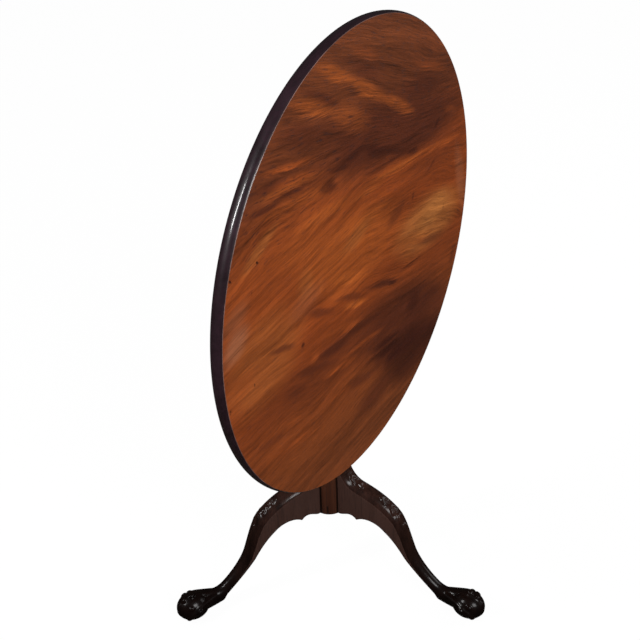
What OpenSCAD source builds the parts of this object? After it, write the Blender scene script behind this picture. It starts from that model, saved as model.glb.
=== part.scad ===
// Tilt-top tea table: a round board that turns up on a pillar with three cabriole legs.
// Millimetres, +Z up. The origin is the floor under the middle of the pillar.
// The board is drawn turned up: its face looks along -Y, over the front leg.

/* [Top board] */
// Diameter of the round board
top_d = 800; // [700:10:860]
// Thickness of the board
top_t = 26; // [20:1:28]
// Height of the upper face when the board lies flat
top_h = 704; // [680:2:740]
// Radius of the small round where the face meets the rim
rim_face_r = 4.5; // [2:0.5:5.5]
// Radius of the larger round where the rim meets the underside
rim_under_r = 13; // [8:1:14]

/* [Hinge block] */
// Distance of the hinge axis in front of the pillar's middle
hinge_reach = 46; // [44:1:56]
// Distance of the hinge axis from the board and from the front of the block
hinge_drop = 14; // [13:0.5:16]
// Thickness of the block
block_t = 46; // [38:1:56]
// Chamfer round the lower edge of the block
block_chamfer = 9; // [4:1:12]
// Radius of the round pins at the ends of the block
pintle_r = 8; // [6.5:0.5:9]
// Play between a pintle and its hole
pintle_play = 0.08; // [0.03:0.01:0.1]

/* [Battens] */
// Length of each batten under the board
batten_l = 640; // [540:10:660]
// Width of a batten
batten_w = 42; // [36:1:50]
// Thickness of a batten, with the hinge hole at its middle
batten_t = 28; // [26:1:32]
// Thickness left at the ends of a batten
batten_end_t = 9; // [6:1:14]
// Length of the long bevel at each end
batten_bevel = 84; // [50:2:90]
// Gap between the block and each batten
batten_gap = 1; // [0.5:0.25:2]

/* [Pillar] */
// Height of the pillar's lower end above the floor
pillar_z = 146; // [142:1:152]
// Radius of the drum that holds the legs
drum_r = 34.5; // [33:0.5:37]
// Height of the drum
drum_h = 146; // [142:1:156]
// Greatest radius of the turned vase
vase_r = 50; // [44:1:56]
// Height of the vase
vase_h = 136; // [110:2:150]
// Radius at the waist above the vase
waist_r = 24; // [21:0.5:27]
// Radius of the shaft under the block
neck_r = 20; // [17:0.5:23]
// Radius of the tenon that passes through the block
tenon_r = 23; // [20:0.5:25]
// Width of the wedge in the tenon at its top
wedge_w = 5; // [4:0.5:6]
// Length of the wedge
wedge_l = 34; // [28:1:36]

/* [Legs] */
// Distance from the pillar's middle to the contact point of each foot
foot_reach = 303; // [298:1:316]
// Half thickness of a leg at the pillar and the knee
leg_half_w = 19; // [17:0.5:20]
// Half thickness of a leg at the ankle
ankle_half_w = 13.5; // [12:0.5:15]
// Height of the highest point of a leg against the drum
leg_top = 282; // [276:1:286]
// Depth of the dovetail in the drum
tail_depth = 16; // [12:0.5:18]
// Half width of the dovetail at its root
tail_half_w = 11; // [9:0.5:12]
// Height of the dovetail
tail_h = 104; // [90:1:115]
// Radius of the ball, across the foot
ball_r = 27; // [25:0.5:28]
// Depth of the flat on which the ball stands
ball_flat = 2.5; // [1:0.5:4]
// Length of the ball compared with its width
ball_stretch = 1.2; // [1.1:0.05:1.25]
// Radius of a talon at its first knuckle
talon_r = 7.5; // [6.5:0.5:8.5]

/* [Iron strap] */
// Thickness of the iron strap under the pillar
strap_t = 2.5; // [2:0.25:3.5]
// Width of each arm of the strap
strap_w = 20; // [16:1:24]
// Radius of a nail's shank
nail_r = 1.6; // [1.2:0.1:2]
// Length of a nail's shank
nail_l = 16; // [12:1:20]

/* [Spring catch] */
// Width of the brass bolt
bolt_w = 16; // [12:1:18]
// Thickness of the bolt
bolt_t = 8; // [6:0.5:9]
// Length of the bolt
bolt_l = 44; // [42:1:48]
// Depth that the bolt enters the block
bolt_bite = 7; // [5:0.5:8]
// Travel of the bolt
bolt_travel = 9; // [9:0.5:10]
// Clear space round the bolt in its case
bolt_play = 0.15; // [0.1:0.05:0.25]
// Thickness of the brass plates and of the case
brass_t = 2; // [1.5:0.25:2.5]
// Side of the square plate that is screwed to the board
plate_w = 58; // [54:1:64]
// Radius of the thumb knob
knob_r = 8; // [6:0.5:9]

/* [Screws] */
// Shank radius of the batten screws
screw_r = 2.5; // [2:0.25:3]
// Depth that the screws enter the board
screw_bite = 13; // [9:0.5:14]

/* [Hidden] */
$fn = 96;

// Heights and places that follow from the sizes above
board_z = top_h - top_t;
hinge_z = board_z - hinge_drop;
block_half = hinge_reach + hinge_drop;
block_z = board_z - block_t;
tenon_set = 0.5;
tenon_z = board_z - tenon_set;
top_r = top_d / 2;
leg_angles = [-90, 150, 30];

// Clearances, and the length by which a cutter runs past a surface
joint_gap = 0.15;
hole_play = 0.1;
mortise_play = 0.6;
flush_gap = 0.3;
over = 1;

// Battens on both sides of the block, and where their screws go
batten_x = block_half + batten_gap;
batten_mid_x = batten_x + batten_w / 2;
screw_places = [-0.335 * batten_l, -0.2 * batten_l, 0.2 * batten_l, 0.335 * batten_l];
screw_head_r = 1.9 * screw_r;

// The catch, seen with the board flat: its case stands behind the block
case_gap = knob_r;
case_y = block_half + case_gap;
case_floor = 1.6 * brass_t;
bolt_z = board_z - brass_t - case_floor - bolt_play;
bolt_tail_y = block_half - bolt_bite + bolt_l;
spring_room = 3 * brass_t;
case_end_y = bolt_tail_y + bolt_travel + spring_room;
knob_y = bolt_tail_y - 1.5 * knob_r;
knob_stem_r = 0.375 * knob_r;
knob_round = 0.375 * knob_r;
catch_screw_r = 0.6 * screw_r;
catch_screw_head_r = 2 * catch_screw_r;
catch_screw_l = 0.92 * screw_bite;
plate_edge = 2 * catch_screw_head_r;

// The keeper, a brass plate let into the back of the block round the bolt's mortise
keeper_side = 0.3 * plate_w;
keeper_half_w = bolt_w / 2 + keeper_side;
keeper_screw_x = bolt_w / 2 + keeper_side / 2;
keeper_h = 0.52 * block_t;

// The strap: its disc stays inside the drum's edge, its arms run part of the way along each
// bracket, and its nails sit in the drum between the legs and on each arm
drum_nail_reach = 0.62 * drum_r;
leg_nail_share = 0.42;
arm_share = 0.6;
disc_edge = 4;
nail_head_r = 2 * nail_r;
nail_head_h = 1.2;
nail_seat = 0.05;

// Turns what is drawn flat about the hinge, into the upright place
module tipped() {
    translate([0, -hinge_reach, hinge_z])
        rotate([90, 0, 0])
            translate([0, hinge_reach, -hinge_z])
                children();
}

module mirrored_x() {
    children();
    mirror([1, 0, 0])
        children();
}

// Countersunk screw: flat slotted head at z = 0, shank down
module wood_screw(r, head_r, l) {
    slot_w = 0.45 * r;
    difference() {
        union() {
            translate([0, 0, -l])
                cylinder(r = r, h = l);
            translate([0, 0, r - head_r])
                cylinder(r1 = r, r2 = head_r, h = head_r - r);
        }
        translate([-head_r, -slot_w / 2, -0.35 * r])
            cube([2 * head_r, slot_w, r]);
    }
}

module screw_hole(r, head_r, l, play) {
    translate([0, 0, -l - play])
        cylinder(r = r + play, h = l + play);
    translate([0, 0, r - head_r])
        cylinder(r1 = r + play, r2 = head_r + play, h = head_r - r);
}

// Board: one disc with a small round above and a large one below
module rim_profile() {
    translate([0, rim_under_r])
        square([top_r, top_t - rim_under_r - rim_face_r]);
    square([top_r - rim_face_r, top_t]);
    translate([top_r - rim_face_r, top_t - rim_face_r])
        circle(r = rim_face_r);
    translate([top_r - rim_under_r, rim_under_r])
        circle(r = rim_under_r);
}

module batten_screw_places() {
    for (y = screw_places)
        translate([batten_mid_x, y, board_z - batten_t])
            rotate([180, 0, 0])
                children();
}

module catch_screw_places() {
    reach = plate_w / 2 - plate_edge;
    for (x = [-reach, reach], y = [-reach, reach])
        translate([x, case_y + plate_w / 2 + y, board_z - brass_t])
            rotate([180, 0, 0])
                children();
}

module top_board() {
    color("sienna")
        tipped()
            difference() {
                translate([0, 0, board_z])
                    rotate_extrude()
                        intersection() {
                            rim_profile();
                            square([top_r, top_t]);
                        }
                mirrored_x()
                    batten_screw_places()
                        screw_hole(screw_r, screw_head_r, batten_t + screw_bite, hole_play);
                catch_screw_places()
                    screw_hole(catch_screw_r, catch_screw_head_r, catch_screw_l, hole_play);
            }
}

// Side view of a batten: long bevels leave thin ends
module batten_side() {
    half = batten_l / 2;
    polygon([
        [-half, 0], [half, 0], [half, -batten_end_t], [half - batten_bevel, -batten_t],
        [batten_bevel - half, -batten_t], [-half, -batten_end_t]
    ]);
}

module right_batten() {
    color("saddlebrown")
        tipped()
            difference() {
                translate([batten_x, 0, board_z])
                    rotate([90, 0, 90])
                        linear_extrude(batten_w)
                            batten_side();
                translate([batten_x - over, -hinge_reach, hinge_z])
                    rotate([0, 90, 0])
                        cylinder(r = pintle_r + pintle_play, h = batten_w + 2 * over);
                batten_screw_places()
                    screw_hole(screw_r, screw_head_r, batten_t + screw_bite, hole_play);
            }
}

module left_batten() {
    mirror([1, 0, 0])
        right_batten();
}

module batten_screws() {
    color("dimgray")
        tipped()
            mirrored_x()
                batten_screw_places()
                    wood_screw(screw_r, screw_head_r, batten_t + screw_bite);
}

// Catch case: a square plate with a box that guides the bolt
module case_body() {
    outer_w = bolt_w + 2 * (bolt_play + brass_t);
    box_h = board_z - brass_t - bolt_z + bolt_t + bolt_play + brass_t;
    translate([-plate_w / 2, case_y, board_z - brass_t])
        cube([plate_w, plate_w, brass_t]);
    translate([-outer_w / 2, case_y, board_z - brass_t - box_h])
        cube([outer_w, case_end_y + brass_t - case_y, box_h]);
}

module bolt_space() {
    w = bolt_w + 2 * bolt_play;
    translate([-w / 2, case_y - over, bolt_z - bolt_t - bolt_play])
        cube([w, case_end_y - case_y + over, bolt_t + 2 * bolt_play]);
}

// Slot in the underside of the case, in which the knob's stem travels
module knob_slot() {
    slot_r = knob_stem_r + mortise_play;
    translate([0, 0, bolt_z - bolt_t - bolt_play - brass_t - over])
        linear_extrude(brass_t + 2 * over) {
            for (y = [knob_y, knob_y + bolt_travel])
                translate([0, y])
                    circle(r = slot_r);
            translate([-slot_r, knob_y])
                square([2 * slot_r, bolt_travel]);
        }
}

module catch_case() {
    color("goldenrod")
        tipped()
            difference() {
                case_body();
                bolt_space();
                knob_slot();
                catch_screw_places()
                    screw_hole(catch_screw_r, catch_screw_head_r, catch_screw_l, hole_play);
            }
}

module knob() {
    rotate_extrude()
        intersection() {
            union() {
                translate([knob_r - knob_round, knob_round])
                    circle(r = knob_round);
                square([knob_r - knob_round, 2 * knob_round]);
            }
            square([knob_r, 2 * knob_round]);
        }
}

// Bolt: a brass bar with a bevelled nose and a turned thumb knob
module catch_bolt() {
    stem_l = brass_t + bolt_play + knob_round;
    nose_y = block_half - bolt_bite;
    color("gold")
        tipped() {
            translate([-bolt_w / 2, 0, 0])
                rotate([90, 0, 90])
                    linear_extrude(bolt_w)
                        polygon([
                            [nose_y, bolt_z], [bolt_tail_y, bolt_z], [bolt_tail_y, bolt_z - bolt_t],
                            [nose_y + bolt_bite, bolt_z - bolt_t], [nose_y, bolt_z - 0.3 * bolt_t]
                        ]);
            translate([0, knob_y, bolt_z - bolt_t - stem_l])
                cylinder(r = knob_stem_r, h = stem_l + over);
            translate([0, knob_y, bolt_z - bolt_t - stem_l])
                rotate([180, 0, 0])
                    knob();
        }
}

// Spring: a steel hairpin between the bolt's tail and the end of the case
module catch_spring() {
    steel_t = 0.8;
    side_gap = 1;
    end_gap = 0.2;
    gap = case_end_y - bolt_tail_y - 2 * end_gap;
    r = gap / 2;
    reach = bolt_w / 2 - side_gap;
    color("silver")
        tipped()
            translate([0, bolt_tail_y + end_gap + r, bolt_z - bolt_t + side_gap / 2])
                linear_extrude(bolt_t - side_gap) {
                    difference() {
                        translate([reach - r, 0])
                            circle(r = r);
                        translate([reach - r, 0])
                            circle(r = r - steel_t);
                        translate([-bolt_w, -gap])
                            square([bolt_w + reach - r, 2 * gap]);
                    }
                    for (y = [-r, r - steel_t])
                        translate([-reach, y])
                            square([2 * reach - r, steel_t]);
                }
}

module catch_screws() {
    color("goldenrod")
        tipped()
            catch_screw_places()
                wood_screw(catch_screw_r, catch_screw_head_r, catch_screw_l);
}

module keeper_screw_places() {
    for (x = [-keeper_screw_x, keeper_screw_x])
        translate([x, block_half, board_z - keeper_h / 2])
            rotate([-90, 0, 0])
                children();
}

module bolt_mortise() {
    w = bolt_w + 2 * mortise_play;
    depth = bolt_bite + 4 * mortise_play;
    translate([-w / 2, block_half - depth, bolt_z - bolt_t - mortise_play])
        cube([w, depth + over, bolt_t + 2 * mortise_play]);
}

module keeper_bed(play) {
    translate([-keeper_half_w - play, block_half - brass_t - play, board_z - keeper_h - play])
        cube([2 * (keeper_half_w + play), brass_t + play + over, keeper_h + play + over]);
}

// Block: rounded about the hinge so that the board can roll over its edge
module hinge_block() {
    w = 2 * block_half;
    pintle_l = batten_gap + 0.95 * batten_w;
    skin = 1;
    color("saddlebrown")
        difference() {
            union() {
                translate([-block_half, -hinge_reach, block_z + block_chamfer])
                    cube([w, block_half + hinge_reach, block_t - block_chamfer]);
                translate([-block_half, -block_half, block_z + block_chamfer])
                    cube([w, w, hinge_z - block_z - block_chamfer]);
                hull() {
                    translate([-block_half, -block_half, block_z + block_chamfer])
                        cube([w, w, skin]);
                    translate([block_chamfer - block_half, block_chamfer - block_half, block_z])
                        cube([w - 2 * block_chamfer, w - 2 * block_chamfer, skin]);
                }
                translate([-block_half, -hinge_reach, hinge_z])
                    rotate([0, 90, 0])
                        cylinder(r = hinge_drop, h = w);
                translate([-block_half - pintle_l, -hinge_reach, hinge_z])
                    rotate([0, 90, 0])
                        cylinder(r = pintle_r, h = w + 2 * pintle_l);
            }
            translate([0, 0, block_z - over])
                cylinder(r = tenon_r + joint_gap, h = block_t + 2 * over);
            bolt_mortise();
            keeper_bed(hole_play);
            keeper_screw_places()
                screw_hole(catch_screw_r, catch_screw_head_r, catch_screw_l, hole_play);
        }
}

module keeper_plate() {
    color("goldenrod")
        difference() {
            translate([-keeper_half_w, block_half - brass_t, board_z - keeper_h])
                cube([2 * keeper_half_w, brass_t, keeper_h - flush_gap]);
            bolt_mortise();
            keeper_screw_places()
                screw_hole(catch_screw_r, catch_screw_head_r, catch_screw_l, hole_play);
        }
}

module keeper_screws() {
    color("goldenrod")
        keeper_screw_places()
            wood_screw(catch_screw_r, catch_screw_head_r, catch_screw_l);
}

// Point and slope on a cubic curve through p[0] and p[3]
function curve(p, t) =
    pow(1 - t, 3) * p[0] + 3 * pow(1 - t, 2) * t * p[1]
    + 3 * (1 - t) * t * t * p[2] + t * t * t * p[3];
function curve_dir(p, t) =
    pow(1 - t, 2) * (p[1] - p[0]) + 2 * (1 - t) * t * (p[2] - p[1]) + t * t * (p[3] - p[2]);

// Dovetail: narrow at the drum's surface, wide at its root. It ends a little above the strap.
module dovetail(play, foot) {
    root = drum_r - tail_depth - play;
    root_w = tail_half_w + play;
    neck = drum_r + 2 * over;
    neck_w = 0.7 * tail_half_w + play;
    translate([0, 0, pillar_z + foot])
        linear_extrude(tail_h + play - foot)
            polygon([[root, -root_w], [root, root_w], [neck, neck_w], [neck, -neck_w]]);
}

// Pillar, turned in one piece: drum, ring, vase, collar, shaft, flare and tenon
module pillar_profile() {
    cut_steps = 14;
    lip = 0.06 * drum_r;
    fillet = 0.15 * drum_r;
    drum_top = pillar_z + drum_h;
    ring_z = drum_top + 0.1 * drum_h;
    ring_r = 0.17 * drum_r;
    vase_z = drum_top + 0.15 * drum_h;
    vase_top = vase_z + vase_h;
    shoulder_r = 0.64 * vase_r;
    shoulder_z = vase_z + 0.72 * vase_h;
    collar_z = vase_top + 0.08 * vase_h;
    collar_half = 0.07 * drum_r;
    collar_r = waist_r + fillet;
    bead_z = block_z - 0.8 * block_t;
    bead_r = 0.25 * neck_r;
    flare_r = 1.7 * neck_r;
    flare_h = 0.18 * block_t;
    belly = [[waist_r, vase_z], [1.16 * vase_r, vase_z + 0.04 * vase_h],
        [1.1 * vase_r, vase_z + 0.45 * vase_h], [shoulder_r, shoulder_z]];
    throat = [[shoulder_r, shoulder_z], [waist_r, vase_z + 0.84 * vase_h],
        [0.83 * waist_r, vase_top], [waist_r, vase_top + 0.04 * vase_h]];
    polygon(concat(
        [[0, pillar_z], [drum_r, pillar_z], [drum_r, drum_top],
            [drum_r - fillet, drum_top + lip], [drum_r - fillet, ring_z - ring_r],
            [waist_r, vase_z - 2 * lip]],
        [for (i = [0:cut_steps]) curve(belly, i / cut_steps)],
        [for (i = [1:cut_steps]) curve(throat, i / cut_steps)],
        [[collar_r, collar_z - collar_half], [collar_r, collar_z + collar_half],
            [waist_r, collar_z + collar_half + lip]],
        [[neck_r, bead_z - bead_r], [neck_r, bead_z + bead_r], [flare_r - lip, block_z - flare_h - lip],
            [flare_r, block_z - flare_h], [flare_r, block_z], [tenon_r, block_z]],
        [[tenon_r, tenon_z], [0, tenon_z]]
    ));
    translate([drum_r - fillet, ring_z])
        circle(r = ring_r);
    translate([collar_r, collar_z])
        circle(r = 1.4 * collar_half);
    translate([neck_r, bead_z])
        circle(r = bead_r);
}

// The wedge and the saw cut that it opens: the same taper
module wedge_shape() {
    half = wedge_w / 2;
    translate([0, 0, tenon_z])
        rotate([90, 0, 0])
            linear_extrude(3 * tenon_r, center = true)
                polygon([[-half, 0], [half, 0], [half / 4, -wedge_l], [-half / 4, -wedge_l]]);
}

module strap_nail_places() {
    for (a = leg_angles)
        rotate([0, 0, a + 60])
            translate([drum_nail_reach, 0, pillar_z - strap_t])
                children();
}

module leg_nail_place() {
    p = curve(bracket, leg_nail_share);
    d = curve_dir(bracket, leg_nail_share);
    translate([p[0], 0, p[1] - strap_t])
        rotate([0, -atan2(d[1], d[0]), 0])
            children();
}

module pillar() {
    color("saddlebrown")
        difference() {
            rotate_extrude()
                pillar_profile();
            for (a = leg_angles)
                rotate([0, 0, a])
                    dovetail(joint_gap, -over);
            wedge_shape();
            strap_nail_places()
                cylinder(r = nail_r + hole_play, h = nail_l + over);
        }
}

module tenon_wedge() {
    color("peru")
        intersection() {
            wedge_shape();
            cylinder(r = tenon_r, h = top_h);
        }
}

// Cabriole leg, drawn along +X. Crest and underside are matched curves in side view:
// drum to cusp, arch, knee, shin, ankle and foot. Each ring joins one point of each.
// Points are shares of the foot's reach and of the leg's height at the drum.
function at(x, z) = [x * foot_reach, z * leg_top];

inner_x = drum_r - 0.5 * tail_depth;
tail_lift = 0.5;
ball_z = ball_r - ball_flat;
cusp = [0.233 * foot_reach, pillar_z];
bracket = [[drum_r, pillar_z], [0.144 * foot_reach, pillar_z],
    [0.19 * foot_reach, pillar_z + 0.06 * leg_top], cusp];
crest = [
    [[drum_r, 0.982 * leg_top], at(0.125, 0.886), at(0.164, 0.814), at(0.236, 0.798)],
    [at(0.236, 0.798), at(0.328, 0.777), at(0.432, 0.735), at(0.508, 0.654)],
    [at(0.508, 0.654), at(0.551, 0.604), at(0.589, 0.466), at(0.622, 0.377)],
    [at(0.622, 0.377), at(0.646, 0.317), at(0.711, 0.228), at(0.787, 0.17)],
    [at(0.787, 0.17), at(0.826, 0.142), at(0.859, 0.145), at(0.911, 0.151)]
];
under = [
    bracket,
    [cusp, at(0.275, 0.56), at(0.361, 0.571), at(0.426, 0.511)],
    [at(0.426, 0.511), at(0.479, 0.468), at(0.525, 0.404), at(0.567, 0.33)],
    [at(0.567, 0.33), at(0.603, 0.27), at(0.682, 0.181), at(0.767, 0.096)],
    [at(0.767, 0.096), at(0.797, 0.064), at(0.836, 0.043), at(0.905, 0.04)]
];
// At each joint: half width, height of the rounded crest, the slope angle at which the
// crest springs from the flat sides, and the round of the lower edges
widths = [leg_half_w, leg_half_w, leg_half_w, 0.87 * leg_half_w, ankle_half_w, ankle_half_w];
crowns = [0.62, 0.62, 0.66, 0.74, 0.9, 0.9];
springs = [27, 27, 25, 21, 12, 12];
edge_r = 1.2;
eases = [edge_r, edge_r, 1.25 * edge_r, 2.5 * edge_r, 0.65 * ankle_half_w, 0.65 * ankle_half_w];
steps = 8;
crown_steps = 10;
ease_steps = 3;

function mix(list, i, t) = list[i] * (1 - t) + list[i + 1] * t;

function section(w, h, crown, spring, ease) = concat(
    [for (k = [0:ease_steps]) let (a = -90 + 90 * k / ease_steps)
        [w - ease + ease * cos(a), ease + ease * sin(a)]],
    [for (k = [0:crown_steps]) let (a = spring + (180 - 2 * spring) * k / crown_steps)
        [w * cos(a) / cos(spring), h - crown * w * (1 - sin(a)) / (1 - sin(spring))]],
    [for (k = [0:ease_steps]) let (a = 180 + 90 * k / ease_steps)
        [ease - w + ease * cos(a), ease + ease * sin(a)]]
);

// A section stands on the underside at u and reaches the crest at c
function ring(c, u, i, t) =
    let (h = norm(c - u), up = (c - u) / h, q = section(mix(widths, i, t), h,
        mix(crowns, i, t), mix(springs, i, t), mix(eases, i, t)))
    [for (p = q) [u[0] + up[0] * p[1], p[0], u[1] + up[1] * p[1]]];

module shank() {
    rings = concat(
        [ring([inner_x, leg_top], [inner_x, pillar_z], 0, 0)],
        [for (i = [0:len(crest) - 1], k = [(i == 0 ? 0 : 1):steps])
            ring(curve(crest[i], k / steps), curve(under[i], k / steps), i, k / steps)]
    );
    n = len(rings[0]);
    last = len(rings) - 1;
    polyhedron(
        points = [for (r = rings) each r],
        faces = concat(
            [[for (k = [0:n - 1]) k]],
            [for (j = [0:last - 1], k = [0:n - 1]) let (m = (k + 1) % n)
                [j * n + k, (j + 1) * n + k, (j + 1) * n + m]],
            [for (j = [0:last - 1], k = [0:n - 1]) let (m = (k + 1) % n)
                [j * n + k, (j + 1) * n + m, j * n + m]],
            [[for (k = [0:n - 1]) last * n + n - 1 - k]]
        ),
        convexity = 6
    );
}

// Talons grip the ball. Each is a run of knuckles, placed in ball radii from the ball's middle:
// along the foot, across it, up, and the radius there compared with talon_r
top_talon = [
    [-1.85, 0, 0.32, 1.05], [-0.95, 0, 0.46, 1.1], [-0.5, 0, 0.7, 0.9], [0.05, 0, 0.84, 1],
    [0.55, 0, 0.74, 0.75], [0.92, 0, 0.4, 0.85], [1.08, 0, -0.1, 0.55], [1.02, 0, -0.5, 0.28]
];
side_talon = [
    [-1.85, 0.14, 0.25, 1], [-0.95, 0.48, 0.3, 1], [-0.5, 0.68, 0.34, 0.85], [-0.1, 0.84, 0.22, 1],
    [0.35, 0.86, 0.02, 0.75], [0.6, 0.76, -0.28, 0.75], [0.66, 0.6, -0.56, 0.35]
];
back_talon = [
    [-2.5, 0, 0.15, 1.05], [-2.2, 0, -0.38, 0.95], [-1.5, 0, -0.5, 1], [-0.9, 0, -0.66, 0.85],
    [-0.3, 0, -0.84, 0.5]
];

module talon(path) {
    for (i = [0:len(path) - 2])
        hull()
            for (q = [path[i], path[i + 1]])
                translate([foot_reach, 0, ball_z] + ball_r * [q[0], q[1], q[2]])
                    sphere(r = talon_r * q[3], $fn = 12);
}

module claw_and_ball() {
    translate([foot_reach, 0, ball_z])
        scale([ball_stretch, 1, 1])
            sphere(r = ball_r, $fn = 36);
    talon(top_talon);
    talon(side_talon);
    mirror([0, 1, 0])
        talon(side_talon);
    talon(back_talon);
}

module leg() {
    color("saddlebrown")
        difference() {
            union() {
                difference() {
                    union() {
                        shank();
                        claw_and_ball();
                    }
                    cylinder(r = drum_r + joint_gap, h = top_h);
                }
                dovetail(0, tail_lift);
            }
            translate([0, -foot_reach, -2 * ball_r])
                cube([2 * foot_reach, 2 * foot_reach, 2 * ball_r]);
            leg_nail_place()
                cylinder(r = nail_r + hole_play, h = nail_l + over, $fn = 24);
        }
}

module front_leg() {
    rotate([0, 0, leg_angles[0]])
        leg();
}

module left_leg() {
    rotate([0, 0, leg_angles[1]])
        leg();
}

module right_leg() {
    rotate([0, 0, leg_angles[2]])
        leg();
}

// Iron strap: a disc under the pillar with an arm bent along the underside of each leg
module strap_arm() {
    path = concat([[0, pillar_z]],
        [for (k = [0:steps]) if (k / steps <= arm_share) curve(bracket, k / steps)]);
    rotate([90, 0, 0])
        linear_extrude(strap_w, center = true)
            polygon(concat(
                [for (q = path) q - [0, hole_play]],
                [for (i = [len(path) - 1:-1:0]) path[i] - [0, strap_t]]
            ));
}

module strap_plate() {
    color("dimgray")
        difference() {
            union() {
                translate([0, 0, pillar_z - strap_t])
                    cylinder(r = drum_r - disc_edge, h = strap_t - hole_play);
                for (a = leg_angles)
                    rotate([0, 0, a])
                        strap_arm();
            }
            strap_nail_places()
                translate([0, 0, -over])
                    cylinder(r = nail_r + hole_play, h = strap_t + 2 * over);
            for (a = leg_angles)
                rotate([0, 0, a])
                    leg_nail_place() {
                        translate([0, 0, -strap_t])
                            cylinder(r = nail_head_r + hole_play, h = strap_t + nail_seat);
                        cylinder(r = nail_r + hole_play, h = 2 * strap_t);
                    }
        }
}

module nail() {
    cylinder(r = nail_r, h = nail_l);
    translate([0, 0, -nail_head_h])
        cylinder(r1 = 0.6 * nail_head_r, r2 = nail_head_r, h = nail_head_h);
}

module strap_nails() {
    color("dimgray") {
        strap_nail_places()
            nail();
        for (a = leg_angles)
            rotate([0, 0, a])
                leg_nail_place()
                    nail();
    }
}

top_board();
left_batten();
right_batten();
batten_screws();
catch_case();
catch_bolt();
catch_spring();
catch_screws();
hinge_block();
keeper_plate();
keeper_screws();
pillar();
tenon_wedge();
front_leg();
left_leg();
right_leg();
strap_plate();
strap_nails();
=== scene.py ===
from math import atan2, cos, degrees, hypot, pi, radians, sin

import bmesh
import bpy
from mathutils import Matrix, Vector


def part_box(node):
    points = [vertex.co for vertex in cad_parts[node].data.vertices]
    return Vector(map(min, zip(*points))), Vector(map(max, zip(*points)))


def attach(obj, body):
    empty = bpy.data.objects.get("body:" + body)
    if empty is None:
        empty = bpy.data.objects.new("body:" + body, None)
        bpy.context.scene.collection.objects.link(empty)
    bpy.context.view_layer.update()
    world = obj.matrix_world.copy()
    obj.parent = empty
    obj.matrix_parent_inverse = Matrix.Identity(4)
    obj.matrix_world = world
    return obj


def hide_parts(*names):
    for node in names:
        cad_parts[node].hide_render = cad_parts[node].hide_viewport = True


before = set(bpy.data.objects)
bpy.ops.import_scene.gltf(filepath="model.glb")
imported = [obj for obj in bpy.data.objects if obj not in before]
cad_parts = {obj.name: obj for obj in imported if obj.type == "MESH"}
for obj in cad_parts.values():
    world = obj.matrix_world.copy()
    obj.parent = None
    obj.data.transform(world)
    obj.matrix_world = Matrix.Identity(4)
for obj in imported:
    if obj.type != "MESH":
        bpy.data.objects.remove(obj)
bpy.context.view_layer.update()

scene = bpy.context.scene
scene.view_settings.view_transform = "Standard"

# Camera
# The photograph looks down on the table from high at its left front. Place, heading and
# lens come from one fit to the rim of the board, both feet and the foot of the pillar.
CAMERA_PLACE = (-1.3291, -0.8418, 1.5628)
CAMERA_HEADING = -57.46
CAMERA_DOWN = 32.235
CAMERA_ROLL = -2.196
FOCAL_PIXELS = 1060.75
PHOTO_PIXELS = 640

bpy.ops.object.camera_add()
camera = bpy.context.object
camera.data.sensor_width = 36
camera.data.lens = FOCAL_PIXELS / PHOTO_PIXELS * camera.data.sensor_width
camera.data.clip_end = 30
camera.matrix_world = (
    Matrix.Translation(CAMERA_PLACE)
    @ Matrix.Rotation(radians(CAMERA_HEADING), 4, "Z")
    @ Matrix.Rotation(radians(90 - CAMERA_DOWN), 4, "X")
    @ Matrix.Rotation(radians(CAMERA_ROLL), 4, "Z")
)
scene.camera = camera


# Studio
# A pale floor that shows as white, and three soft boxes: a large one at the camera's left,
# a narrow one that draws the long streak on the rim, and a weak one for the shaded side.
class Link:
    """A node's output that can be added, multiplied and compared like a number."""

    def __init__(self, tree, socket):
        self.tree = tree
        self.socket = socket

    def math(self, operation, *values):
        return self.tree.node("ShaderNodeMath", {"operation": operation}, *values)

    def __add__(self, other):
        return self.math("ADD", self, other)

    __radd__ = __add__

    def __sub__(self, other):
        return self.math("SUBTRACT", self, other)

    def __rsub__(self, other):
        return self.math("SUBTRACT", other, self)

    def __mul__(self, other):
        return self.math("MULTIPLY", self, other)

    __rmul__ = __mul__

    def __gt__(self, other):
        return self.math("GREATER_THAN", self, other)

    def __lt__(self, other):
        return self.math("LESS_THAN", self, other)


class NodeTree:
    """Makes every node by one method: its type, its settings, and its sockets' values or links."""

    def __init__(self, tree):
        self.nodes = tree.nodes
        self.links = tree.links

    def plug(self, socket, value):
        if isinstance(value, Link):
            self.links.new(value.socket, socket)
        elif socket.type == "RGBA" and len(value) == 3:
            socket.default_value = (*value, 1)
        else:
            socket.default_value = value

    def node(self, kind, settings, *values, output=0, **named):
        made = self.nodes.new(kind)
        for key, value in settings.items():
            if key == "stops":
                ramp = made.color_ramp.elements
                while len(ramp) < len(value):
                    ramp.new(0.5)
                for stop, (place, colour) in zip(ramp, value):
                    stop.position = place
                    stop.color = (*colour, 1)
            else:
                setattr(made, key, value)
        for index, value in enumerate(values):
            if value is not None:
                self.plug(made.inputs[index], value)
        for name, value in named.items():
            self.plug(made.inputs[name.replace("_", " ")], value)
        return Link(self, made.outputs[output])


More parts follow.
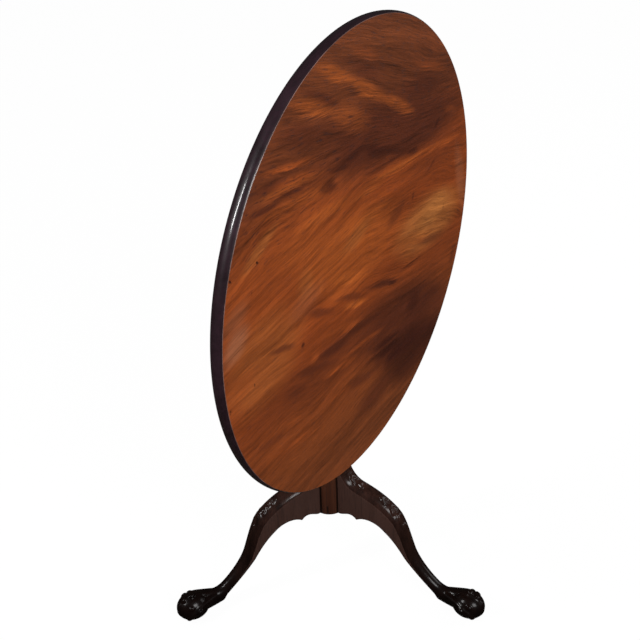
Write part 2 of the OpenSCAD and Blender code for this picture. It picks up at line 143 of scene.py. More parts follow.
class Finish(NodeTree):
    """A material. Constants go on its shader's own sockets."""

    def __init__(self, name, **constants):
        self.material = bpy.data.materials.new(name)
        self.material.use_nodes = True
        super().__init__(self.material.node_tree)
        self.shader = self.nodes["Principled BSDF"]
        for socket, value in constants.items():
            self.shader.inputs[socket.replace("_", " ")].default_value = value

    def surface(self, **sockets):
        for name, value in sockets.items():
            self.plug(self.shader.inputs[name.replace("_", " ")], value)

    def place(self):
        return self.node("ShaderNodeTexCoord", {}, output="Object")

    def axes(self, place):
        """The three coordinates of a place."""
        split = self.node("ShaderNodeSeparateXYZ", {}, place).socket.node
        return [Link(self, coordinate) for coordinate in split.outputs]

    def mapped(self, place, location=(0, 0, 0), turn=(0, 0, 0), scale=(1, 1, 1), kind="POINT"):
        return self.node(
            "ShaderNodeMapping",
            {"vector_type": kind},
            Vector=place,
            Location=location,
            Rotation=tuple(radians(a) for a in turn),
            Scale=scale,
        )

    def noise(self, place, scale, detail=3.0, roughness=0.5, distortion=0.0):
        return self.node(
            "ShaderNodeTexNoise", {}, Vector=place, Scale=scale, Detail=detail,
            Roughness=roughness, Distortion=distortion,
        )

    def ramp(self, value, *stops):
        """Maps a number to a number between stops of (place, level)."""
        return self.node(
            "ShaderNodeValToRGB", {"stops": [(p, (v, v, v)) for p, v in stops]}, value
        )

    def colours(self, value, *stops):
        return self.node("ShaderNodeValToRGB", {"stops": list(stops)}, value)

    def blend(self, factor, first, second, kind="MIX"):
        """Mixes two colours, which are the Mix node's sockets 6 and 7."""
        settings = {"data_type": "RGBA", "blend_type": kind}
        return self.node("ShaderNodeMix", settings, factor, *[None] * 5, first, second, output=2)

    def bump(self, height, distance):
        made = self.node("ShaderNodeBump", {}, Height=height, Distance=distance, Strength=1.0)
        self.surface(Normal=made)


FLOOR_GREY = 0.4
FLOOR_HALF = 30.0
FLOOR_DROP = 0.0005
WHITE_SHARE = 0.92
WHITE_LEVEL = 1.05
WORLD_LEVEL = 0.6
SEEN_LEVEL = 1.0
GLOSS_LEVEL = 0.03
bpy.ops.object.select_all(action="DESELECT")
bpy.ops.mesh.primitive_plane_add(size=2 * FLOOR_HALF, location=(0, 0, -FLOOR_DROP))
floor = bpy.context.object
floor.name = "studio_floor"
felt = Finish("studio_floor", Base_Color=(FLOOR_GREY, FLOOR_GREY, FLOOR_GREY, 1), Roughness=0.9)
in_sight = felt.node("ShaderNodeLightPath", {}, output="Is Camera Ray")
in_gloss = felt.node("ShaderNodeLightPath", {}, output="Is Glossy Ray")
cloth = Link(felt, felt.shader.outputs[0])
white = felt.node("ShaderNodeEmission", {}, (1, 1, 1), WHITE_LEVEL)
dim = felt.node("ShaderNodeEmission", {}, (1, 0.8, 0.65), GLOSS_LEVEL)
lit = felt.node("ShaderNodeMixShader", {}, in_sight * WHITE_SHARE, cloth, white)
shown = felt.node("ShaderNodeMixShader", {}, in_gloss, lit, dim)
felt.plug(felt.nodes["Material Output"].inputs[0], shown)
floor.data.materials.append(felt.material)

world = bpy.data.worlds.new("studio")
scene.world = world
world.use_nodes = True
air = NodeTree(world.node_tree)
in_gloss = air.node("ShaderNodeLightPath", {}, output="Is Glossy Ray")
in_sight = air.node("ShaderNodeLightPath", {}, output="Is Camera Ray")
unseen = air.node("ShaderNodeMix", {}, in_gloss, None, WORLD_LEVEL, GLOSS_LEVEL)
level = air.node("ShaderNodeMix", {}, in_sight, None, unseen, SEEN_LEVEL)
air.plug(air.nodes["Background"].inputs["Color"], (1, 1, 1))
air.plug(air.nodes["Background"].inputs["Strength"], level)


def soft_box(name, place, aim, width, height, power):
    bpy.ops.object.light_add(type="AREA", location=place)
    lamp = bpy.context.object
    lamp.name = name
    lamp.data.shape = "RECTANGLE"
    lamp.data.size = width
    lamp.data.size_y = height
    lamp.data.energy = power
    lamp.rotation_euler = (Vector(aim) - Vector(place)).to_track_quat("-Z", "Y").to_euler()


soft_box("key", (-1.5, -3.0, 2.7), (0, 0, 0.7), 1.5, 1.5, 95)
soft_box("streak", (-2.07, 1.45, 2.53), (-0.33, -0.08, 0.95), 0.3, 1.0, 50)
soft_box("fill", (2.6, -2.4, 1.8), (0, 0, 0.5), 2.0, 2.0, 40)


# Pillar
# It is turned from one length of dense mahogany, stained dark and waxed. The legs are
# dovetailed into its drum, where painted shade darkens a thin line beside each joint, and the drum has
# one crack.
def figured_grain(finish, along, fine):
    """Streaks and pores that run along one axis: (streak, pore), each 0 to 1."""
    place = finish.place()
    drawn_out = {"X": (0.06, 1, 1), "Z": (1, 1, 0.06)}[along]
    long = finish.mapped(place, scale=drawn_out)
    streak = finish.noise(long, fine, detail=5, roughness=0.6, distortion=0.5)
    pore = finish.noise(long, fine * 9, detail=2, roughness=0.5)
    return streak, pore


def dark_wood(name, along, deep, light, black_z=0.0, full_z=0.0, gloss=0.5, specular=0.5, sharp=0.15):
    """Dark waxed wood. Where full_z is given it turns almost black from there down to black_z."""
    finish = Finish(name, Specular_IOR_Level=specular, Coat_Roughness=sharp)
    streak, pore = figured_grain(finish, along, 46)
    wear = finish.noise(finish.place(), 9, detail=3)
    colour = finish.colours(streak * 0.7 + wear * 0.3, (0.34, deep), (0.68, light))
    pores = finish.ramp(pore, (0.36, 1.0), (0.46, 0.0))
    colour = finish.blend(pores * 0.4, colour, tuple(0.5 * c for c in deep))
    shine = gloss + 0.5 * (0.5 - wear)
    # Where full_z is given the wood is made darker towards the bottom, almost black at black_z.
    if full_z:
        height = finish.axes(finish.place())[2]
        darker_low = finish.ramp(height, (black_z, 1.0), (full_z, 0.0))
        colour = finish.blend(darker_low * 0.92, colour, (0.0013, 0.0007, 0.0006))
        shine = shine * (1 - darker_low * 0.4)
    finish.surface(
        Base_Color=colour, Roughness=0.34 + wear * 0.12 + pores * 0.15, Coat_Weight=shine
    )
    finish.bump(streak * 0.3 - pores * 0.5, 0.00006)
    finish.colour = colour
    return finish


def dress(node, finish):
    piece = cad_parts[node]
    piece.data.materials.clear()
    piece.data.materials.append(finish.material)


LEG_ANGLES = {"front_leg": -90, "left_leg": 150, "right_leg": 30}
LEG_HALF_W = 0.019
JOINT_TOP = 0.276
JOINT_BLACK = 0.0006
JOINT_CLEAR = 0.0022
CRACK_ANGLE = 205
CRACK_TOP = 0.167
CRACK_BLACK = 0.0012
CRACK_CLEAR = 0.002
PILLAR_CORE = 0.015
# Dark colour for the painted shade beside the leg joints, and for the crack's dark line.
JOINT_SHADE_AND_CRACK = (0.002, 0.001, 0.0007)
pillar_wood = dark_wood(
    "pillar_mahogany", "Z", (0.03, 0.0075, 0.0028), (0.064, 0.018, 0.0068), gloss=0.2, specular=0.3
)
pillar_x, pillar_y, pillar_z = pillar_wood.axes(pillar_wood.place())


def beside(angle, gap_from, gap_to, top):
    """Dark where the pillar's surface lies near the plane of an angle, up to a height."""
    c, s = cos(radians(angle)), sin(radians(angle))
    aside = pillar_x * s - pillar_y * c
    off_plane = aside.math("ABSOLUTE", aside)
    out = (pillar_x * c + pillar_y * s) > PILLAR_CORE
    near = pillar_wood.ramp(off_plane * 10, (gap_from * 10, 1.0), (gap_to * 10, 0.0))
    return near * out * (pillar_z < top)


# Painted shade: the drum is darkened beside each leg, where shade falls into the joint.
joint_shade = sum(
    beside(angle, LEG_HALF_W + JOINT_BLACK, LEG_HALF_W + JOINT_CLEAR, JOINT_TOP)
    for angle in LEG_ANGLES.values()
)
crack = beside(CRACK_ANGLE, CRACK_BLACK, CRACK_CLEAR, CRACK_TOP)
pillar_wood.surface(
    Base_Color=pillar_wood.blend(joint_shade * 0.85 + crack * 0.8, pillar_wood.colour, JOINT_SHADE_AND_CRACK)
)
dress("pillar", pillar_wood)


# Hinge block and wedge
# The block sits on the pillar's tenon, and a wedge in the tenon's saw cut holds it there.
# Both are bare wood that has gone brown and dusty with age, and the wedge is a paler one.
def raw_wood(name, along, dark=(0.07, 0.029, 0.0155), light=(0.155, 0.072, 0.039)):
    """Bare wood with open pores and a pale bloom of dust."""
    finish = Finish(name, Specular_IOR_Level=0.3)
    streak, pore = figured_grain(finish, along, 40)
    dust = finish.noise(finish.place(), 14, detail=4, roughness=0.65)
    colour = finish.colours(streak, (0.3, dark), (0.68, light))
    pores = finish.ramp(pore, (0.36, 1.0), (0.48, 0.0))
    colour = finish.blend(pores * 0.6, colour, tuple(0.5 * c for c in dark))
    colour = finish.blend(
        finish.ramp(dust, (0.52, 0.0), (0.75, 0.35)), colour, (0.16, 0.12, 0.085)
    )
    finish.surface(Base_Color=colour, Roughness=0.62 + dust * 0.25)
    finish.bump(streak * 0.5 - pores + dust * 0.3, 0.0004)
    return finish


block_wood = raw_wood("block_mahogany", "X")
dress("hinge_block", block_wood)
wedge_wood = raw_wood("wedge_wood", "Z", dark=(0.12, 0.07, 0.035), light=(0.34, 0.22, 0.12))
dress("tenon_wedge", wedge_wood)


# Legs
# Three cabriole legs, each sawn and carved from one plank and dovetailed into the drum.
# Leaves are carved on each shoulder and knee, and the foot is a claw that grips a ball.
def alone(piece):
    bpy.ops.object.select_all(action="DESELECT")
    piece.select_set(True)
    bpy.context.view_layer.objects.active = piece


WELD = 0.00002


def own_copy(node, name):
    """A copy of a CAD node with its own welded mesh, free of its body."""
    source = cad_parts[node]
    piece = bpy.data.objects.new(name, source.data.copy())
    scene.collection.objects.link(piece)
    alone(piece)
    bpy.ops.object.mode_set(mode="EDIT")
    bpy.ops.mesh.select_all(action="SELECT")
    bpy.ops.mesh.remove_doubles(threshold=WELD)
    bpy.ops.object.mode_set(mode="OBJECT")
    piece.data.materials.clear()
    return piece


def melted(piece, voxel, passes):
    """Remeshes a piece into one even skin and smooths it a little."""
    alone(piece)
    skin = piece.modifiers.new("skin", "REMESH")
    skin.mode = "VOXEL"
    skin.voxel_size = voxel
    bpy.ops.object.modifier_apply(modifier="skin")
    ease = piece.modifiers.new("ease", "SMOOTH")
    ease.factor = 0.5
    ease.iterations = passes
    bpy.ops.object.modifier_apply(modifier="ease")


def carved_bead(piece, near, along, half_sizes):
    """An egg laid on the surface near a point, with its long axis along a way."""
    _, spot, normal, _ = piece.closest_point_on_mesh(near)
    way = Vector(along) - normal * normal.dot(Vector(along))
    way.normalize()
    across = normal.cross(way)
    turn = Matrix((way, across, normal)).transposed().to_4x4()
    bpy.ops.mesh.primitive_uv_sphere_add(segments=12, ring_count=8)
    bead = bpy.context.object
    bead.data.transform(Matrix.Translation(spot) @ turn @ Matrix.Diagonal((*half_sizes, 1)))
    bead.matrix_world = Matrix.Identity(4)
    return bead


# A bead is half its length, half its width and half its height.
MIDRIB_BEAD = (0.0045, 0.0013, 0.0016)
FROND_BEAD = (0.0065, 0.0038, 0.0026)
FROND_THINS = 0.0008
RIB_BEADS_A_FROND = 4
FROND_STEPS = 5


def leaf(piece, rib, half_wide, fronds):
    """An acanthus leaf down a rib of (reach, height) points: a midrib and curled fronds."""
    beads = []
    points = [Vector((0, -reach, height)) for reach, height in rib]
    lengths = [(q - p).length for p, q in zip(points, points[1:])]

    def along(share):
        left = share * sum(lengths)
        for p, q, length in zip(points, points[1:], lengths):
            if left <= length:
                return p.lerp(q, left / length), (q - p).normalized()
            left -= length
        return points[-1], (points[-1] - points[-2]).normalized()

    rib_beads = RIB_BEADS_A_FROND * fronds
    long, wide, high = MIDRIB_BEAD
    for k in range(rib_beads):
        share = k / rib_beads
        spot, way = along(share)
        thin = 1 - 0.6 * share
        beads.append(carved_bead(piece, spot, way, (long, wide * thin, high * thin)))
    long, wide, high = FROND_BEAD
    for k in range(fronds):
        share = (k + 0.3) / fronds
        spot, way = along(share)
        reach = half_wide * (0.55 + 0.45 * sin(pi * min(1, share * 1.15))) * (1 - 0.45 * share)
        for side in (-1, 1):
            for step in range(FROND_STEPS):
                t = (step + 0.6) / FROND_STEPS
                out = Vector((side * reach * t, 0, 0))
                ahead = way * reach * (0.25 * t + 0.75 * t * t)
                lean = Vector((side * (1 - 0.6 * t), 0, 0)) + way * (0.35 + 1.1 * t)
                size = (long, wide * (1 - 0.4 * t), high - FROND_THINS * t)
                beads.append(carved_bead(piece, spot + out + ahead, lean, size))
    return beads


SAWN_VOXEL = 0.0012
CARVED_VOXEL = 0.00095
KNEE_RIB = [(0.112, 0.216), (0.14, 0.206), (0.163, 0.182), (0.176, 0.15)]
SHOULDER_RIB = [(0.043, 0.262), (0.053, 0.24), (0.072, 0.226), (0.085, 0.221)]
BALL_REACH = 0.303
BALL_Z = 0.0245
BALL_R = 0.027
KNUCKLE_HALF_L = 0.0058
KNUCKLE_HALF_W = 0.0046
# Out, aside and up from the ball's middle, in radii of the ball, and half the knuckle's height.
KNUCKLES = (
    (0.05, 0, 0.84, 0.0036), (0.55, 0, 0.72, 0.003), (-0.1, 0.84, 0.22, 0.0024),
    (-0.1, -0.84, 0.22, 0.0024), (0.35, 0.7, 0.45, 0.0024), (0.35, -0.7, 0.45, 0.0024),
)
SIDE_NORMAL = 0.94
SIDE_LOW = 0.055
BLACK_Z = 0.03
side_wood = dark_wood(
    "leg_side", "Z", (0.036, 0.0155, 0.0112), (0.053, 0.0242, 0.0182),
    black_z=BLACK_Z, full_z=0.1, gloss=0.1, specular=0.3,
)
crest_wood = dark_wood(
    "leg_crest", "Z", (0.009, 0.0034, 0.0023), (0.042, 0.016, 0.011),
    black_z=BLACK_Z, full_z=0.27, gloss=0.45, specular=0.04, sharp=0.19,
)
first_leg = own_copy("front_leg", "carved_front_leg")
melted(first_leg, SAWN_VOXEL, passes=5)
carving = leaf(first_leg, KNEE_RIB, half_wide=0.015, fronds=4)
carving += leaf(first_leg, SHOULDER_RIB, half_wide=0.012, fronds=3)
for reach, side, rise, half_high in KNUCKLES:
    knuckle = Vector((side * BALL_R, -BALL_REACH - reach * BALL_R, BALL_Z + rise * BALL_R))
    half_sizes = (KNUCKLE_HALF_L, KNUCKLE_HALF_W, half_high)
    carving.append(carved_bead(first_leg, knuckle, (0, -1, -0.3), half_sizes))
alone(first_leg)
for bead in carving:
    bead.select_set(True)
bpy.ops.object.join()
melted(first_leg, CARVED_VOXEL, passes=7)
first_leg.data.materials.clear()
first_leg.data.materials.append(crest_wood.material)
first_leg.data.materials.append(side_wood.material)
for face in first_leg.data.polygons:
    face.material_index = int(abs(face.normal.x) > SIDE_NORMAL and face.center.z > SIDE_LOW)
bpy.ops.object.shade_smooth()
for node, angle in LEG_ANGLES.items():
    if node == "front_leg":
        leg = first_leg
    else:
        leg = bpy.data.objects.new("carved_" + node, first_leg.data.copy())
        scene.collection.objects.link(leg)
        leg.data.transform(Matrix.Rotation(radians(angle - LEG_ANGLES["front_leg"]), 4, "Z"))
    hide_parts(node)
    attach(leg, "base")


# Iron strap
# A smith's three-armed strap under the drum ties the legs together. It is nailed to the
# pillar and to each leg, and is black with age.
iron = Finish("black_iron", Metallic=0.85)
scale_marks = iron.noise(iron.place(), 60, detail=6, roughness=0.65)
iron.surface(
    Base_Color=iron.colours(scale_marks, (0.35, (0.018, 0.016, 0.015)), (0.7, (0.085, 0.06, 0.045))),
    Roughness=0.5 + scale_marks * 0.3,
)
iron.bump(scale_marks, 0.0006)
dress("strap_plate", iron)
dress("strap_nails", iron)


# Board
# One wide plank of figured mahogany, turned round, 26 mm thick. Its face is waxed to a
# red-gold glow, its rim is rounded to the back and almost black.
BOARD_R = 0.3998
BOARD_T = 0.026
EDGE_IN = 0.0036
FRONT_R = 0.0129
FRONT_ARC = 40
BELLY_Y = 0.0089
BACK_IN = 0.013
BACK_STEPS = 12
ROUND_POINTS = 360
low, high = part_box("top_board")
BOARD_FACE_Y = low.y
BOARD_MID_Z = (low.z + high.z) / 2

# The face is drawn out ring by ring: a worn edge that also carries a painted highlight, the front of
# the rim, then its round back.
rings = []
for degree in range(FRONT_ARC, -1, -5):
    t = radians(degree)
    rings.append((FRONT_R * (1 - cos(t)), BELLY_Y - FRONT_R * sin(t)))
EDGE_Y = rings[0][1]
for k in range(1, BACK_STEPS + 1):
    t = radians(90 * k / BACK_STEPS)
    rings.append((BACK_IN * (1 - cos(t)), BELLY_Y + (BOARD_T - BELLY_Y) * sin(t)))
bpy.ops.object.select_all(action="DESELECT")
bpy.ops.mesh.primitive_circle_add(
    vertices=ROUND_POINTS, radius=BOARD_R - EDGE_IN, fill_type="NGON",
    location=(0, BOARD_FACE_Y, BOARD_MID_Z), rotation=(pi / 2, 0, 0),
)
board = bpy.context.object
board.name = "figured_board"
bpy.ops.object.transform_apply(location=True, rotation=True, scale=True)
bpy.ops.object.mode_set(mode="EDIT")
bpy.ops.mesh.select_all(action="SELECT")
reach, depth = BOARD_R - EDGE_IN, 0
for inset, next_depth in rings:
    bpy.ops.mesh.extrude_region_move(TRANSFORM_OT_translate={"value": (0, next_depth - depth, 0)})
    grow = (BOARD_R - inset) / reach
    bpy.ops.transform.resize(value=(grow, 1, grow), center_override=(0, 0, BOARD_MID_Z))
    reach, depth = BOARD_R - inset, next_depth
bpy.ops.mesh.select_all(action="SELECT")
bpy.ops.mesh.normals_make_consistent(inside=False)
bpy.ops.object.mode_set(mode="OBJECT")
bpy.ops.object.shade_smooth_by_angle(angle=radians(35))


def pick(piece, wanted):
    """Enters edit mode with only the faces selected that pass a test."""
    alone(piece)
    bpy.ops.object.mode_set(mode="EDIT")
    bpy.ops.mesh.select_all(action="DESELECT")
    bpy.ops.mesh.select_mode(type="FACE")
    shape = bmesh.from_edit_mesh(piece.data)
    for face in shape.faces:
        face.select_set(wanted(face))
    bmesh.update_edit_mesh(piece.data)


face_wood = Finish("board_face", Specular_IOR_Level=0.3, Coat_Roughness=0.22)
centred = face_wood.mapped(face_wood.place(), location=(0, 0, -BOARD_MID_Z))
face_x, _, face_z = face_wood.axes(centred)

# How steeply the grain falls from left to right at each height, on each half: 0.5 is level.
left_lean = face_wood.ramp(
    face_z + 0.5, (0.3, 0.5), (0.4, 0.57), (0.47, 0.49), (0.55, 0.38), (0.62, 0.36), (0.7, 0.5),
    (0.78, 0.68), (0.86, 0.8),
)
right_lean = face_wood.ramp(
    face_z + 0.5, (0.3, 0.53), (0.42, 0.75), (0.5, 0.66), (0.6, 0.58), (0.68, 0.7), (0.78, 0.88)
)
slow = face_wood.noise(face_wood.mapped(centred, scale=(2.4, 1, 5)), 1.0, detail=2)
quick = face_wood.noise(face_wood.mapped(centred, scale=(9, 1, 30)), 1.0, detail=3)
sway = (slow - 0.5) * 0.06 + (quick - 0.5) * 0.012
to_left = face_x.math("MINIMUM", face_x, 0.0)
to_right = face_x.math("MAXIMUM", face_x, 0.0)
run_z = face_z + to_left * (left_lean - 0.5) + to_right * (right_lean - 0.5) + sway
grain_way = face_wood.node("ShaderNodeCombineXYZ", {}, face_x, 0.0, run_z)
patch_way = face_wood.node(
    "ShaderNodeCombineXYZ", {}, face_x + (quick - 0.5) * 0.05, 0.0, face_z + sway * 0.8
)
broad = face_wood.noise(face_wood.mapped(grain_way, scale=(1.5, 1, 22)), 1.0, detail=2)
streak = face_wood.noise(face_wood.mapped(grain_way, scale=(4, 1, 85)), 1.0, detail=4, roughness=0.6)
fine = face_wood.noise(face_wood.mapped(grain_way, scale=(16, 1, 480)), 1.0, detail=3, roughness=0.6)
ragged = (quick - 0.5) * 0.008 + (streak - 0.5) * 0.022 + (fine - 0.5) * 0.012
line_way = face_wood.node("ShaderNodeCombineXYZ", {}, face_x, 0.0, face_z + ragged)
pore_way = face_wood.mapped(grain_way, scale=(42, 1, 620))
open_grain = face_wood.ramp(face_z + 0.5, (0.3, 0.3), (0.5, 0.15), (0.63, 0.45), (0.7, 1.0))
pore = face_wood.noise(pore_way, 1.0, detail=3, roughness=0.6)
pores = face_wood.ramp(pore, (0.33, 1.0), (0.45, 0.0))


def oval(way, x, z, half_long, half_wide, tilt, full):
    """A soft oval on the face, in millimetres from the board's middle: 1 inside, 0 outside."""
    near = face_wood.mapped(
        way, location=(x / 1000, 0, z / 1000), turn=(0, -tilt, 0),
        scale=(half_long / 1000, 1, half_wide / 1000), kind="TEXTURE",
    )
    ball = face_wood.node("ShaderNodeTexGradient", {"gradient_type": "SPHERICAL"}, near, output=1)
    smooth = {"interpolation_type": "SMOOTHSTEP"}
    return face_wood.node("ShaderNodeMapRange", smooth, ball, 0.0, full)


def line(x_from, z_from, x_to, z_to, half_wide):
    """A streak of the figure that tapers to both its ends."""
    long, rise = x_to - x_from, z_to - z_from
    return oval(
        line_way, (x_from + x_to) / 2, (z_from + z_to) / 2, 0.56 * hypot(long, rise), half_wide,
        degrees(atan2(rise, long)), 0.75,
    )


# The pale haze is a painted sheen of reflected light, and a pit is a small dent full of dark wax.
RED_BROWN = (0.14, 0.036, 0.0105)
DEEP = (0.07, 0.0155, 0.0065)
UMBER = (0.03, 0.006, 0.0035)
ORANGE = (0.235, 0.049, 0.0085)
AMBER = (0.29, 0.067, 0.0105)
GOLD = (0.31, 0.108, 0.027)
PAINTED_SHEEN = (0.3, 0.135, 0.08)
PIT = (0.02, 0.005, 0.003)
tone = face_wood.colours(
    face_z + 0.5, (0.15, RED_BROWN), (0.25, (0.16, 0.038, 0.009)), (0.38, (0.175, 0.036, 0.007)),
    (0.5, (0.185, 0.036, 0.006)), (0.62, (0.185, 0.037, 0.0065)), (0.72, (0.105, 0.025, 0.0085)),
    (0.85, (0.12, 0.03, 0.009)),
)

# Broad soft patches: the middle's x and z, half length and half width in mm, tilt in degrees.
for x, z, half_long, half_wide, tilt, colour, strength in (
    (-230, 110, 260, 150, 0, ORANGE, 0.6),
    (-30, 40, 210, 90, -8, AMBER, 0.65),
    (-300, -20, 130, 90, 0, GOLD, 0.25),
    (240, -30, 170, 70, -5, GOLD, 0.6),
    (110, 190, 300, 75, -9, DEEP, 0.85),
    (230, 165, 170, 50, -4, DEEP, 0.5),
    (-40, -130, 380, 60, -3, DEEP, 0.45),
    (170, -213, 270, 108, -18, DEEP, 0.85),
    (185, -282, 190, 82, -14, UMBER, 0.75),
    (290, 95, 170, 48, 0, DEEP, 0.3),
):
    soft = oval(patch_way, x, z, half_long, half_wide, tilt, 0.6)
    tone = face_wood.blend(soft * (0.3 + 1.4 * streak) * strength, tone, colour)

# Streaks of the figure, listed one by one: x and z of both ends and half width in mm, strength.
FIGURE = (
    (DEEP, (
        (-182, 355, -54, 286, 13, 0.7), (-44, 341, 68, 292, 16, 0.5), (-304, 248, -208, 235, 8, 0.6),
        (-260, 217, -154, 208, 6, 0.8), (115, 257, 290, 217, 28, 0.7), (-249, 314, -93, 254, 30, 0.7),
        (88, 164, 282, 145, 30, 0.9), (-75, 227, 44, 175, 26, 0.7), (-291, 244, -132, 213, 8, 0.9),
        (-325, 218, -227, 209, 6, 0.9), (66, 26, 154, 52, 20, 0.5), (157, -42, 312, -93, 14, 0.6),
        (-96, 371, 98, 297, 12, 0.5), (-145, 283, -7, 227, 30, 0.4), (-10, -50, 140, -100, 9, 0.95),
        (-112, -13, 13, -68, 9, 0.5), (-189, 1, -89, -45, 12, 0.6), (-117, -98, 101, -138, 12, 0.8),
        (89, -132, 274, -173, 10, 0.8), (-296, -11, -210, -39, 9, 0.7), (-176, -92, -38, -124, 15, 0.8),
        (-242, -81, -93, -139, 11, 0.6), (-85, -212, 40, -239, 16, 0.6), (115, -201, 300, -186, 24, 1),
        (-258, -108, -184, -136, 18, 0.4), (-347, -159, -246, -182, 12, 0.4),
        (-55, -289, 116, -289, 40, 0.6), (331, -169, 358, -135, 14, 0.5),
    )),
    (UMBER, (
        (-85, 202, 8, 201, 9, 0.6), (-30, 214, 160, 132, 12, 0.6), (0, 191, 80, 156, 10, 0.5),
        (-138, 184, -86, 185, 9, 0.5), (-114, 204, -33, 188, 7, 0.6), (140, 137, 195, 122, 10, 0.8),
        (-138, 185, -73, 172, 13, 0.6), (-243, 221, -193, 215, 5, 0.7), (12, 138, 94, 132, 6, 0.6),
        (247, 143, 272, 158, 7, 0.6), (167, 34, 175, 55, 5, 0.5), (290, -28, 301, -26, 7, 0.7),
        (125, -80, 219, -92, 4, 0.8), (-202, -47, -190, -52, 8, 0.8), (5, -190, 128, -206, 11, 0.7),
        (20, -212, 140, -226, 12, 0.75), (-10, -205, 70, -212, 8, 0.5),
        (60, -236, 150, -240, 14, 0.5), (146, -169, 212, -173, 26, 0.5), (77, -82, 119, -94, 7, 0.5),
        (6, 150, 153, 138, 6, 0.6), (275, 92, 213, 67, 5, 0.35),
    )),
    (ORANGE, (
        (-215, 340, -120, 310, 8, 0.4), (153, 293, 309, 229, 12, 0.35), (-40, 372, 60, 326, 14, 0.3),
        (-295, 270, -122, 235, 8, 0.75), (-272, 241, -122, 218, 7, 0.6), (7, 142, 189, 115, 9, 0.9),
        (166, 117, 371, 94, 9, 0.9), (-29, 147, 292, 100, 13, 0.5), (281, 170, 343, 143, 10, 0.4),
        (-150, -70, 13, -112, 9, 0.6), (-104, -144, 77, -164, 9, 0.6), (-160, -143, -17, -173, 10, 0.7),
        (-138, -202, -47, -220, 7, 0.6), (-330, -197, -150, -231, 13, 0.5),
        (-395, -25, -315, -24, 30, 0.4), (-181, -94, -147, -90, 12, 0.6),
    )),
    (AMBER, (
        (-220, 148, -30, 133, 20, 0.6), (-82, 80, 106, 72, 16, 0.6), (-125, 22, 14, -26, 14, 0.6),
        (-78, -46, 13, -79, 10, 0.8), (-136, 48, -138, 8, 8, 0.5), (-269, 128, -92, 100, 40, 0.35),
        (94, -23, 254, -59, 20, 0.3), (-140, 378, -20, 312, 17, 0.6), (-54, 332, 80, 251, 18, 0.65),
        (40, 273, 180, 197, 16, 0.55), (-210, 343, -75, 288, 15, 0.5), (-106, 302, 28, 226, 30, 0.3),
        (-306, 237, -111, 209, 9, 0.5), (-309, 205, -86, 180, 14, 0.3), (-39, 136, 286, 109, 7, 0.75),
        (-60, 128, 72, 118, 7, 0.6),
    )),
    (GOLD, (
        (175, -21, 328, -12, 42, 0.85), (-345, 140, -235, 185, 15, 0.35), (-208, 48, -152, 53, 40, 0.2),
        (-85, 49, 35, 72, 22, 0.3),
    )),
    # Painted sheen: pale hazy reflections of light on the face.
    (PAINTED_SHEEN, (
        (-400, 25, -325, 65, 30, 0.4), (-400, 70, -320, 100, 26, 0.2), (-240, 15, -120, 25, 34, 0.12),
        (340, 90, 395, -80, 26, 0.2),
    )),
    (PIT, (
        (-303, 150, -295, 142, 2.5, 1), (-318, 107, -316, 106, 3, 1), (-391, -1, -389, -2, 3, 1),
        (-389, -52, -387, -53, 4, 1), (-329, -42, -325, -43, 2, 1), (-369, 150, -359, 145, 2, 1),
    )),
)
for colour, lines in FIGURE:
    for *ends, half_wide, strength in lines:
        share = line(*ends, half_wide) * strength
        if colour not in (PAINTED_SHEEN, PIT):
            share = share * (1.5 * streak + 1.4 * fine - 0.45)
        tone = face_wood.blend(share, tone, colour)
shade = 1 + (broad - 0.5) * 0.9 + (streak - 0.5) * 1.45 + (fine - 0.5) * (1.2 + open_grain * 0.8)
shading = face_wood.node("ShaderNodeCombineColor", {}, shade, shade * 0.96, shade * 0.84)
tone = face_wood.blend(1.0, tone, shading, kind="MULTIPLY")
tone = face_wood.blend(pores * (0.15 + open_grain * 0.55), tone, UMBER)
face_wood.surface(Base_Color=tone, Roughness=0.34 + pores * 0.2, Coat_Weight=0.25 - pores * 0.15)
face_wood.bump(fine * 0.25 + streak * 0.2 - pores * 0.5, 0.00012)

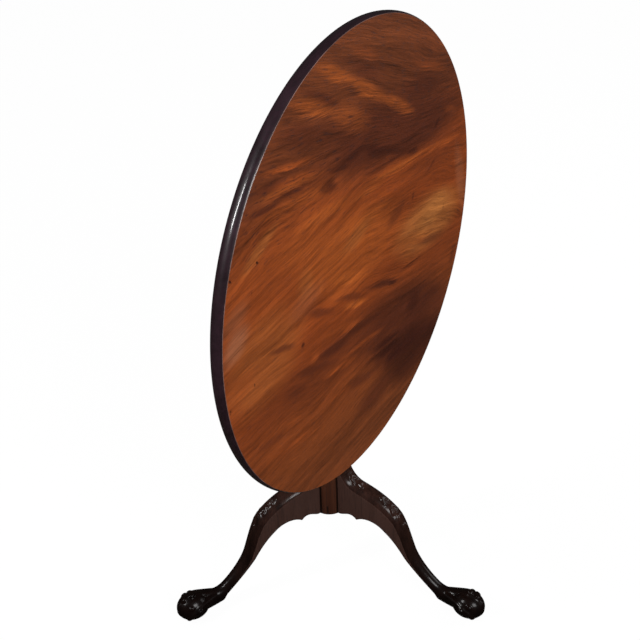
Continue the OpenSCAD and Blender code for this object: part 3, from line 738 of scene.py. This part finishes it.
rim_wood = dark_wood(
    "board_rim", "X", (0.009, 0.0032, 0.0052), (0.026, 0.0105, 0.0165),
    gloss=0.65, specular=0.25, sharp=0.13,
)
back_wood = raw_wood("board_back", "X")
# The arris between face and rim is paler: partly wear, partly a painted highlight of the key lamp's
# reflection.
worn_edge_and_highlight = dark_wood("board_edge", "X", (0.06, 0.026, 0.02), (0.24, 0.13, 0.11), gloss=0.15)
HAIR = 0.0001


def depth_of(face):
    return face.calc_center_median().y - BOARD_FACE_Y


# The rim's finish goes on all over first, and the others then go on where they belong.
for slot, (finish, wanted) in enumerate((
    (rim_wood, lambda f: True),
    (face_wood, lambda f: depth_of(f) < HAIR),
    (back_wood, lambda f: depth_of(f) > BOARD_T - HAIR),
    (worn_edge_and_highlight, lambda f: HAIR < depth_of(f) < EDGE_Y),
)):
    board.data.materials.append(finish.material)
    pick(board, wanted)
    board.active_material_index = slot
    bpy.ops.object.material_slot_assign()
    bpy.ops.object.mode_set(mode="OBJECT")
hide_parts("top_board")
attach(board, "top")


# Battens
# Two bevelled mahogany battens lie across the back of the board, held by iron screws, and
# the pins of the block turn in them.
batten_wood = raw_wood("batten_mahogany", "Z")
for node in ("left_batten", "right_batten"):
    dress(node, batten_wood)
dress("batten_screws", iron)


# Spring catch
# A brass spring bolt on a square plate holds the board flat. The plate's screws, the keeper
# and its screws are brass too, and all of it is dull with age.
brass = Finish("aged_brass", Metallic=1.0)
tarnish = brass.noise(brass.place(), 45, detail=6, roughness=0.6)
brass.surface(
    Base_Color=brass.colours(tarnish, (0.35, (0.16, 0.1, 0.04)), (0.65, (0.55, 0.38, 0.15))),
    Roughness=0.5 - tarnish * 0.25,
)
brass.bump(tarnish, 0.0002)
for node in ("catch_case", "catch_bolt", "catch_screws", "keeper_plate", "keeper_screws"):
    dress(node, brass)
steel = Finish("spring_steel", Metallic=1.0)
blueing = steel.noise(steel.place(), 80, detail=3)
steel.surface(
    Base_Color=steel.colours(blueing, (0.35, (0.12, 0.12, 0.13)), (0.65, (0.35, 0.34, 0.33))),
    Roughness=0.3 + blueing * 0.2,
)
dress("catch_spring", steel)
